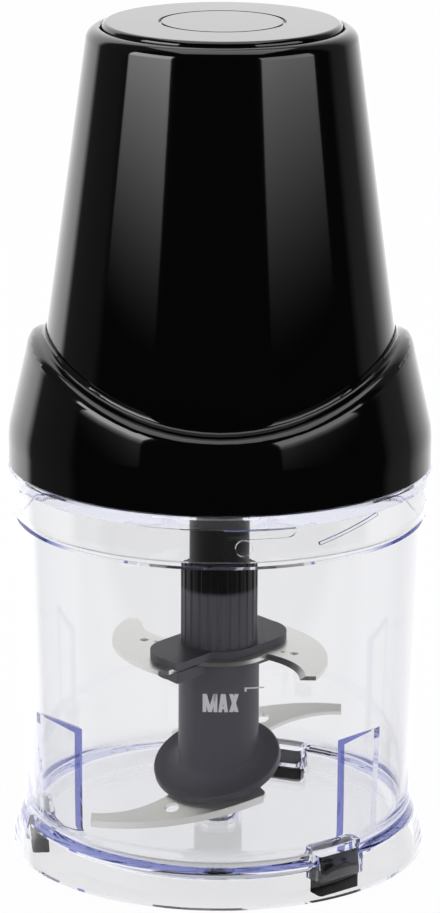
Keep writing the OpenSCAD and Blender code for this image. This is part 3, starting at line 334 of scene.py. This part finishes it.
# %% [markdown]
# ## Finishes
# Each finish starts from the real material and how its surface was made. A pattern's scale is one
# divided by its size in metres, because a node's scale counts repeats per metre. The real grain of a
# moulding is about 0.05 mm, too fine to show, so the grains here are drawn several times coarser.

# %% [markdown]
# The cone, the shoulder ring and the button are ABS from a polished tool. The eye gets deep black under a
# hard gloss that waves very slightly, because thick walls shrink unevenly as they cool. A bump from soft
# noise gives that wave without touching the mesh.


# %% Polished black ABS of the housing
def polished_black_abs():
    """ABS moulded in a polished tool: deep black under a hard, slightly wavy gloss."""
    wave, wave_deep = 6 * MM, 0.1 * MM
    material, tree, shader = finish("polished_black_abs", "#050506", Roughness=0.07, IOR=1.52)
    coords = add(tree, "ShaderNodeTexCoord")
    swell = add(tree, "ShaderNodeTexNoise", {"Vector": coords.outputs["Object"], "Scale": 1 / wave,
        "Detail": 1.0})
    ripple = add(tree, "ShaderNodeBump", {"Height": swell.outputs["Fac"], "Strength": 0.02,
        "Distance": wave_deep})
    tree.links.new(ripple.outputs["Normal"], shader.inputs["Normal"])
    return material


black_gloss = polished_black_abs()
print("housing:", black_gloss.name)

# %% [markdown]
# A grain changes the gloss and the tone at the same spots. Most finishes have one, so a function lets a
# pattern drive both.


# %% Let a grain change the gloss and the tone
def vary(tree, shader, grain, roughness, colour=None, tones=None):
    """Lets a grain move the roughness between two values, and a colour between two shares of itself."""
    smooth, rough = roughness
    spread = add(tree, "ShaderNodeMapRange", {"Value": grain.outputs["Fac"], "To Min": smooth,
        "To Max": rough})
    tree.links.new(spread.outputs[0], shader.inputs["Roughness"])
    if colour:
        dark, light = [toned(colour, share) for share in tones]
        mixed = add(tree, "ShaderNodeMix", {"Factor": grain.outputs["Fac"], 6: dark, 7: light},
            data_type="RGBA")
        tree.links.new(mixed.outputs[2], shader.inputs["Base Color"])


# %% [markdown]
# Inner mouldings, rubber feet, pressed magnets and the board are matt for the same reason: a fine grain
# scatters the light. One noise drives the tone, the roughness and the relief together, as pits do. Rubber
# and black mouldings gleam less than the rest.


# %% Satin mouldings, rubber, ferrite and board
def satin_moulding(name, colour, grain, roughness, gleam=0.5):
    """A moulded or pressed piece with a fine grain, of this size, that scatters the light."""
    smoother, rougher, pit_deep = 0.04, 0.06, 0.05 * MM
    material, tree, shader = finish(name, colour, Roughness=roughness, IOR=1.52, Specular_IOR_Level=gleam)
    coords = add(tree, "ShaderNodeTexCoord")
    pits = add(tree, "ShaderNodeTexNoise", {"Vector": coords.outputs["Object"], "Scale": 1 / grain,
        "Detail": 3.0})
    vary(tree, shader, pits, (roughness - smoother, roughness + rougher), colour, tones=(0.8, 1.2))
    relief = add(tree, "ShaderNodeBump", {"Height": pits.outputs["Fac"], "Strength": 0.15,
        "Distance": pit_deep})
    tree.links.new(relief.outputs["Normal"], shader.inputs["Normal"])
    return material


SATIN = {  # name, colour, size of the grain, roughness, gleam
    "black_plastic": satin_moulding("moulded_black_abs", "#0e0e10", 0.4 * MM, 0.4, 0.25),
    "rubber": satin_moulding("black_rubber", "#0b0b0c", 0.3 * MM, 0.6, 0.15),
    "ferrite": satin_moulding("ferrite", "#2c2c30", 0.5 * MM, 0.6),
    "carbon": satin_moulding("pressed_carbon", "#2a2a2a", 0.3 * MM, 0.55),
    "nylon": satin_moulding("natural_nylon", "#dcdad2", 0.6 * MM, 0.45),
    "board": satin_moulding("solder_mask", "#2c6a3e", 0.8 * MM, 0.35),
}
print("satin finishes:", len(SATIN))

# %% [markdown]
# The bowl and the lid are SAN, a styrene plastic that is clear as glass. It holds a trace of blue, which
# a thin wall doesn't show and a thick edge does, because light travels far along it. A tinted surface
# would colour both alike, so the blue is an absorption in the volume. The lid gets less of it, to match
# the picture.

# %% Clear SAN of the bowl and lid
CLEAR = "#ffffff"


def clear_san(name, tint_per_metre):
    """Styrene plastic, clear as glass, with a trace of blue that only its thick edges show."""
    material, tree, _ = finish(name, CLEAR, Roughness=0.0, IOR=1.5, Transmission_Weight=1.0)
    tint = add(tree, "ShaderNodeVolumeAbsorption", {"Color": linear("#8894dc"), "Density": tint_per_metre})
    tree.links.new(tint.outputs[0], tree.nodes["Material Output"].inputs["Volume"])
    return material


bowl_plastic = clear_san("clear_san", tint_per_metre=13.0)
lid_plastic = clear_san("clear_san_lid", tint_per_metre=2.0)
print("clear plastics:", bowl_plastic.name, lid_plastic.name)

# %% [markdown]
# The fins stand inward from the bowl's wall. Light runs along a fin and leaves it at its inner edge and at
# its sloping top, so these look as blue as a thick block. The volume alone gives too little of that, so
# the surface is tinted there: in a strip along the inner edge, and above a line that rises outwards under
# the top. The distance to the axis and the height tell where that is. Only light that enters the plastic
# there is tinted, and not light that leaves it.


# %% Blue that gathers at the inner edge and the top of a fin
def tint_fins(plastic):
    """Tints the inner edge of every fin, and what lies above a rising line under its top."""
    edge, band, strip_low = 42.6 * MM, 2.2 * MM, 7.6 * MM
    fin_middle, fin_half, top_lean, top_low = 48.0 * MM, 5.4 * MM, -0.68, 8.3 * MM
    tree = plastic.node_tree
    shader = tree.nodes["Principled BSDF"]
    coords = add(tree, "ShaderNodeTexCoord")
    place = add(tree, "ShaderNodeSeparateXYZ", {"Vector": coords.outputs["Object"]})
    flat = add(tree, "ShaderNodeVectorMath", {0: coords.outputs["Object"], 1: (1, 1, 0)},
        operation="MULTIPLY")
    out = add(tree, "ShaderNodeVectorMath", {0: flat.outputs[0]}, operation="LENGTH")
    near = add(tree, "ShaderNodeMath", {0: out.outputs["Value"], 1: edge, 2: band}, operation="COMPARE")
    above = add(tree, "ShaderNodeMath", {0: place.outputs["Z"], 1: strip_low}, operation="GREATER_THAN")
    strip = add(tree, "ShaderNodeMath", {0: near.outputs[0], 1: above.outputs[0]}, operation="MULTIPLY")
    fin = add(tree, "ShaderNodeMath", {0: out.outputs["Value"], 1: fin_middle, 2: fin_half},
        operation="COMPARE")
    rise = add(tree, "ShaderNodeMath", {0: out.outputs["Value"], 1: top_lean, 2: place.outputs["Z"]},
        operation="MULTIPLY_ADD")
    high = add(tree, "ShaderNodeMath", {0: rise.outputs[0], 1: top_low}, operation="GREATER_THAN")
    top = add(tree, "ShaderNodeMath", {0: fin.outputs[0], 1: high.outputs[0]}, operation="MULTIPLY")
    either = add(tree, "ShaderNodeMath", {0: strip.outputs[0], 1: top.outputs[0]}, operation="MAXIMUM")
    within = add(tree, "ShaderNodeNewGeometry")
    outside = add(tree, "ShaderNodeMath", {0: 1.0, 1: within.outputs["Backfacing"]}, operation="SUBTRACT")
    amount = add(tree, "ShaderNodeMath", {0: either.outputs[0], 1: outside.outputs[0]}, operation="MULTIPLY")
    colour = add(tree, "ShaderNodeMix", {"Factor": amount.outputs[0], 6: linear(CLEAR), 7: linear("#3d44a0")},
        data_type="RGBA")
    tree.links.new(colour.outputs[2], shader.inputs["Base Color"])


tint_fins(bowl_plastic)
print(bowl_plastic.name, "nodes:", len(bowl_plastic.node_tree.nodes))

# %% [markdown]
# The hub is dark grey ABS with a satin grain. The black coupling inside the top of its fluted sleeve
# shows through it a little. Real scattering would be slow and hardly seen, so painted shade stands for it:
# a dark band in the colour at the top of the sleeve, weaker where the sleeve turns away from the eye and
# more plastic lies in front of the coupling. So this painted shade changes with the angle to the eye.


# %% Satin grey plastic of the blade hub
def grey_hub_plastic():
    """Dark grey ABS with painted shade: a dark band at the top of its sleeve stands for the black coupling
    seen through it.
    """
    grey, painted_shade_colour = "#5b5a61", "#070708"
    grain, pit_deep, shade_low, shade_high = 0.3 * MM, 0.03 * MM, 76.6 * MM, 78.4 * MM
    turned_away = {"From Min": 0.45, "From Max": 0.8, "To Min": 1.0, "To Max": 0.45}
    material, tree, shader = finish("grey_hub_plastic", grey, Roughness=0.38, IOR=1.5, Specular_IOR_Level=0.3)
    coords = add(tree, "ShaderNodeTexCoord")
    place = add(tree, "ShaderNodeSeparateXYZ", {"Vector": coords.outputs["Object"]})
    # Painted shade: the colour darkens in a band at the top of the sleeve, less where the sleeve faces away
    # from the eye.
    band = add(tree, "ShaderNodeMapRange", {"Value": place.outputs["Z"], "From Min": shade_low,
        "From Max": shade_high}, interpolation_type="SMOOTHSTEP")
    depth = add(tree, "ShaderNodeLayerWeight", {"Blend": 0.5})
    painted_shade_facing = add(tree, "ShaderNodeMapRange", {"Value": depth.outputs["Facing"], **turned_away})
    amount = add(tree, "ShaderNodeMath", {0: band.outputs[0], 1: painted_shade_facing.outputs[0]}, operation="MULTIPLY")
    shade = add(tree, "ShaderNodeMix", {"Factor": amount.outputs[0], 6: linear(grey), 7: linear(painted_shade_colour)},
        data_type="RGBA")
    tree.links.new(shade.outputs[2], shader.inputs["Base Color"])
    pits = add(tree, "ShaderNodeTexNoise", {"Vector": coords.outputs["Object"], "Scale": 1 / grain,
        "Detail": 2.0})
    vary(tree, shader, pits, roughness=(0.32, 0.46))
    relief = add(tree, "ShaderNodeBump", {"Height": pits.outputs["Fac"], "Strength": 0.05,
        "Distance": pit_deep})
    tree.links.new(relief.outputs["Normal"], shader.inputs["Normal"])
    return material


hub_grey = grey_hub_plastic()
print("hub:", hub_grey.name)

# %% [markdown]
# The blades are cut from rolled stainless strip and ground along their edges. Rolling leaves fine streaks
# along the strip, so the noise is stretched twenty times along X, and it drives the tone and the
# roughness. Real streaks are too fine to show, so these are drawn coarser.


# %% Ground stainless steel of the blades
def ground_stainless():
    """Stainless strip with a fine rolled grain: bright, a little warm, with soft streaks."""
    streak, stretch, colour = 0.25 * MM, (0.05, 1, 1), "#f4f3ee"
    material, tree, shader = finish("ground_stainless", colour, Roughness=0.32, Metallic=1.0)
    coords = add(tree, "ShaderNodeTexCoord")
    along = add(tree, "ShaderNodeMapping", {"Vector": coords.outputs["Object"], "Scale": stretch})
    lines = add(tree, "ShaderNodeTexNoise", {"Vector": along.outputs[0], "Scale": 1 / streak, "Detail": 2.0})
    vary(tree, shader, lines, (0.24, 0.4), colour, tones=(0.92, 1.04))
    return material


blade_steel = ground_stainless()
print("blades:", blade_steel.name)

# %% [markdown]
# Shafts, screws, sheet stacks, bushes and windings hide inside the motor unit until it is taken apart.
# They differ in colour, in gloss and in the size of their grain, so one function makes them all.


# %% Other metals
def metal(name, colour, roughness, grain):
    """A plain metal face whose tone and roughness vary with a grain of this size."""
    either_way = 0.08
    material, tree, shader = finish(name, colour, Roughness=roughness, Metallic=1.0)
    coords = add(tree, "ShaderNodeTexCoord")
    spots = add(tree, "ShaderNodeTexNoise", {"Vector": coords.outputs["Object"], "Scale": 1 / grain,
        "Detail": 2.0})
    vary(tree, shader, spots, (roughness - either_way, roughness + either_way), colour, tones=(0.9, 1.1))
    return material


METALS = {  # name, colour, roughness, size of the grain
    "steel": metal("turned_steel", "#b9b9b9", 0.3, 0.4 * MM),
    "zinc_plated": metal("zinc_plate", "#aeb1b4", 0.38, 1.5 * MM),
    "lamination": metal("sheet_stack", "#8a8a8c", 0.5, 0.5 * MM),
    "bronze": metal("sintered_bronze", "#b98a4a", 0.42, 0.3 * MM),
    "copper": metal("enamelled_copper", "#b4562c", 0.3, 0.5 * MM),
}
print("metals:", len(METALS))

# %% [markdown]
# The record names a material slot for each piece. This table says which finish fills it.

# %% Which slot gets which finish
FINISHES = {
    "clear_plastic": bowl_plastic,
    "black_gloss": black_gloss,
    "hub_grey": hub_grey,
    "blade_steel": blade_steel,
    **SATIN,
    **METALS,
}
print("finishes:", len(FINISHES))

# %% [markdown]
# ## Soft edges
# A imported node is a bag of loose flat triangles, and black gloss shows every one of them. A copy is
# merged into one skin, its flat faces are joined, and it is shaded smooth except across real edges. No
# moulded or ground edge is perfectly sharp, so those that the eye can reach get a small bevel as well.
# Weighted normals then keep the large faces flat right up to their rounded edges.

# %% Edge radius of each piece that shows a crisp edge
EDGES = {
    "blade_hub": 0.25 * MM,
    "upper_blade": 0.12 * MM,
    "lower_blade": 0.12 * MM,
    "drive_coupling": 0.2 * MM,
    "cord_gland": 0.3 * MM,
    "foot_front": 0.4 * MM,
    "foot_back": 0.4 * MM,
    "foot_left": 0.4 * MM,
}
SOFT_FROM = math.radians(32)
print("pieces with a bevel:", len(EDGES))

# %% [markdown]
# Turned shapes need one thing more. Clear walls and black gloss bend a picture by the shading normal, and
# the normals of long thin facets wobble a little. The true normal of a face around the axis points
# straight out from it, so it is simply set.

# %% True normals for turned shapes
TURNED = ("bowl", "lid", "motor_housing", "press_button", "shoulder_ring")
ROUND_WITHIN = math.cos(math.radians(5))
NEARLY_LEVEL = 0.05


def true_round(mesh):
    """Points the shading of every face that lies around the Z axis straight out from that axis."""
    normals = [corner.vector.copy() for corner in mesh.corner_normals]
    turned = 0
    for face in mesh.polygons:
        out, middle = face.normal.xy, face.center.xy
        if out.length < NEARLY_LEVEL or abs(out.normalized() @ middle.normalized()) < ROUND_WITHIN:
            continue
        turned += 1
        side = math.copysign(1, out @ middle)
        for loop in face.loop_indices:
            around = mesh.vertices[mesh.loops[loop].vertex_index].co.xy.normalized()
            across = normals[loop].xy.length * side
            normals[loop].xy = around * across
    mesh.normals_split_custom_set(normals)
    print(mesh.name, "faces around the axis:", turned)


# %% [markdown]
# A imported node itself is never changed. Its copy goes through all of these steps, gets its finish, rides on
# the same body and then stands for the node.

# %% Copy, merge and soften a node
MERGE_WITHIN = 0.001 * MM
FLAT_WITHIN = math.radians(0.02)


def soften(node, body, slot):
    """A merged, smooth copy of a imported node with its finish, which then stands for that node."""
    only(nodes[node])
    bpy.ops.object.duplicate()
    piece = bpy.context.active_object
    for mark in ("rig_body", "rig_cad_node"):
        del piece[mark]
    piece.name = piece.data.name = node + "_finished"
    bpy.ops.mesh.customdata_custom_splitnormals_clear()
    bpy.ops.object.mode_set(mode="EDIT")
    bpy.ops.mesh.select_all(action="SELECT")
    bpy.ops.mesh.remove_doubles(threshold=MERGE_WITHIN)
    bpy.ops.mesh.dissolve_limited(angle_limit=FLAT_WITHIN)
    bpy.ops.object.mode_set(mode="OBJECT")
    if node in EDGES:
        modify(piece, "BEVEL", width=EDGES[node], segments=2, limit_method="ANGLE", angle_limit=SOFT_FROM)
    only(piece)
    bpy.ops.object.shade_smooth_by_angle(angle=SOFT_FROM)
    modify(piece, "WEIGHTED_NORMAL", keep_sharp=True)
    if node in TURNED:
        true_round(piece.data)
    piece.data.materials.clear()
    piece.data.materials.append(FINISHES[slot])
    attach(piece, body)
    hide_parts(node)
    return piece


# %% [markdown]
# The record lists which nodes each body carries and which slot each node has, so one loop does them all.
# The lid shares its slot with the bowl, and its own clear plastic is set afterwards.

# %% Soften every node
SLOT_OF = {part["node"]: part["material_slot"] for part in frame["record"]["subparts"]}
finished = {}
for body, members in frame["record"]["behaviour"]["bodies"].items():
    for node in members:
        finished[node] = soften(node, body, SLOT_OF[node])
finished["lid"].data.materials[0] = lid_plastic
print("softened:", len(finished), "faces:", sum(len(p.data.polygons) for p in finished.values()))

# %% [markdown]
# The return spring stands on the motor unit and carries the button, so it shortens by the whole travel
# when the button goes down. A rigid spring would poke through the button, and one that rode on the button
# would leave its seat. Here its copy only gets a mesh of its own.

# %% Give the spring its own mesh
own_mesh(finished["button_spring"])

# %% [markdown]
# ## Fill mark
# The bowl carries a printed word for its fill limit, with a short line at that height. The ink lies on
# the outside of the bowl. A picture could hold the print, but a mesh stays crisp at any distance. So the
# shapes are built flat, projected onto the curved wall and given the thickness of a print.

# %% White ink
INK_GRAIN = 0.2 * MM  # drawn coarser than the grain of real ink, which is too fine to show
ink, ink_tree, ink_shader = finish("pad_print_ink", "#c9c9cf", Roughness=0.55, IOR=1.48)
coords = add(ink_tree, "ShaderNodeTexCoord")
cover = add(ink_tree, "ShaderNodeTexNoise", {"Vector": coords.outputs["Object"], "Scale": 1 / INK_GRAIN})
vary(ink_tree, ink_shader, cover, roughness=(0.45, 0.65))
print("ink:", ink.name)

# %% [markdown]
# A Shrinkwrap modifier moves a flat mesh straight back until it meets the wall, and Solidify gives it the
# thickness of the ink. A small gap keeps the two surfaces apart, because a render can't tell which of two
# faces at the same place is in front.

# %% Lay a flat mesh on the bowl
INK_GAP, INK_THICK = 0.02 * MM, 0.04 * MM


def print_on_bowl(piece):
    """Lays a flat upright mesh onto the front of the bowl and makes it a thin layer of ink."""
    modify(piece, "SHRINKWRAP", target=finished["bowl"], wrap_method="PROJECT", use_project_y=True,
        use_positive_direction=True, use_negative_direction=False, offset=INK_GAP)
    modify(piece, "SOLIDIFY", thickness=INK_THICK, offset=1)
    piece.data.materials.clear()
    piece.data.materials.append(ink)
    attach(piece, "bowl_base")
    print(piece.name, "from", [round(c / MM, 2) for c in piece.bound_box[0]])


# %% [markdown]
# The letters are bold and narrow, so each is built from a few slanted bars: a plane of the bar's width
# whose top edge is moved sideways. A text object would need a font as narrow as this. Bars that cross are
# the same ink.

# %% Bars of the word
WORD_LEFT, WORD_LOW, WORD_HIGH = -4.4 * MM, 57.9 * MM, 5.3 * MM
IN_FRONT = -75 * MM
BARS = {  # left side at the foot and at the top, width (mm), foot and top as shares of the height
    "m_left": (0, 0, 1.02, 0, 1),
    "m_right": (3.01, 3.01, 1.02, 0, 1),
    "m_down": (1.5, 0.08, 1.05, 0, 1),
    "m_up": (1.48, 2.9, 1.05, 0, 1),
    "a_left": (4.32, 5.0, 0.98, 0, 1),
    "a_right": (5.99, 5.31, 0.98, 0, 1),
    "a_bar": (5.0, 5.1, 1.25, 0.17, 0.31),
    "x_up": (7.27, 8.8, 1.12, 0, 1),
    "x_down": (8.8, 7.27, 1.12, 0, 1),
}


def slanted_bar(foot, top, wide, low, high):
    """An upright plane whose top edge is moved sideways."""
    bpy.ops.object.select_all(action="DESELECT")
    bpy.ops.mesh.primitive_plane_add(size=1)
    bar = bpy.context.active_object
    bar.scale = (wide * MM, (high - low) * WORD_HIGH, 1)
    bar.rotation_euler = (math.pi / 2, 0, 0)
    middle = WORD_LOW + (low + high) / 2 * WORD_HIGH
    bar.location = (WORD_LEFT + (foot + wide / 2) * MM, IN_FRONT, middle)
    bpy.ops.object.transform_apply()
    bpy.ops.object.mode_set(mode="EDIT")
    bpy.ops.mesh.select_mode(type="VERT")
    bpy.ops.mesh.select_all(action="DESELECT")
    bpy.ops.object.mode_set(mode="OBJECT")
    for vertex in bar.data.vertices:
        vertex.select = vertex.co.z > middle
    bpy.ops.object.mode_set(mode="EDIT")
    bpy.ops.transform.translate(value=((top - foot) * MM, 0, 0))
    bpy.ops.object.mode_set(mode="OBJECT")
    return bar


# %% The word
bars = [slanted_bar(*shape) for shape in BARS.values()]
for bar in bars:
    bar.select_set(True)
bpy.ops.object.join()
word = bpy.context.active_object
word.name = word.data.name = "fill_word"
print_on_bowl(word)

# %% [markdown]
# The line starts with a short tick that turns down. The plane is cut into small faces first, so that it
# can follow the round wall, and the tick grows from the edges at the left end.

# %% The line beside it, with its short tick
LINE_LEFT, LINE_RIGHT = 7.1 * MM, 12.5 * MM
LINE_Z, LINE_HIGH = 64.8 * MM, 0.4 * MM
TICK_WIDE, TICK_DOWN = 0.6 * MM, 0.8 * MM
LOWER_EDGE = LINE_Z - 0.49 * LINE_HIGH
bpy.ops.object.select_all(action="DESELECT")
bpy.ops.mesh.primitive_plane_add(size=1)
line = bpy.context.active_object
line.name = "fill_line"
line.scale = (LINE_RIGHT - LINE_LEFT, LINE_HIGH, 1)
line.rotation_euler = (math.pi / 2, 0, 0)
line.location = ((LINE_LEFT + LINE_RIGHT) / 2, IN_FRONT, LINE_Z)
bpy.ops.object.transform_apply()
bpy.ops.object.mode_set(mode="EDIT")
bpy.ops.mesh.subdivide(number_cuts=9)
bpy.ops.mesh.select_all(action="DESELECT")
bpy.ops.object.mode_set(mode="OBJECT")
for edge in line.data.edges:
    ends = [line.data.vertices[v].co for v in edge.vertices]
    edge.select = all(e.z < LOWER_EDGE and e.x < LINE_LEFT + TICK_WIDE for e in ends)
bpy.ops.object.mode_set(mode="EDIT")
bpy.ops.mesh.select_mode(type="EDGE")
bpy.ops.mesh.extrude_region_move(TRANSFORM_OT_translate={"value": (0, 0, -TICK_DOWN)})
bpy.ops.object.mode_set(mode="OBJECT")
print_on_bowl(line)
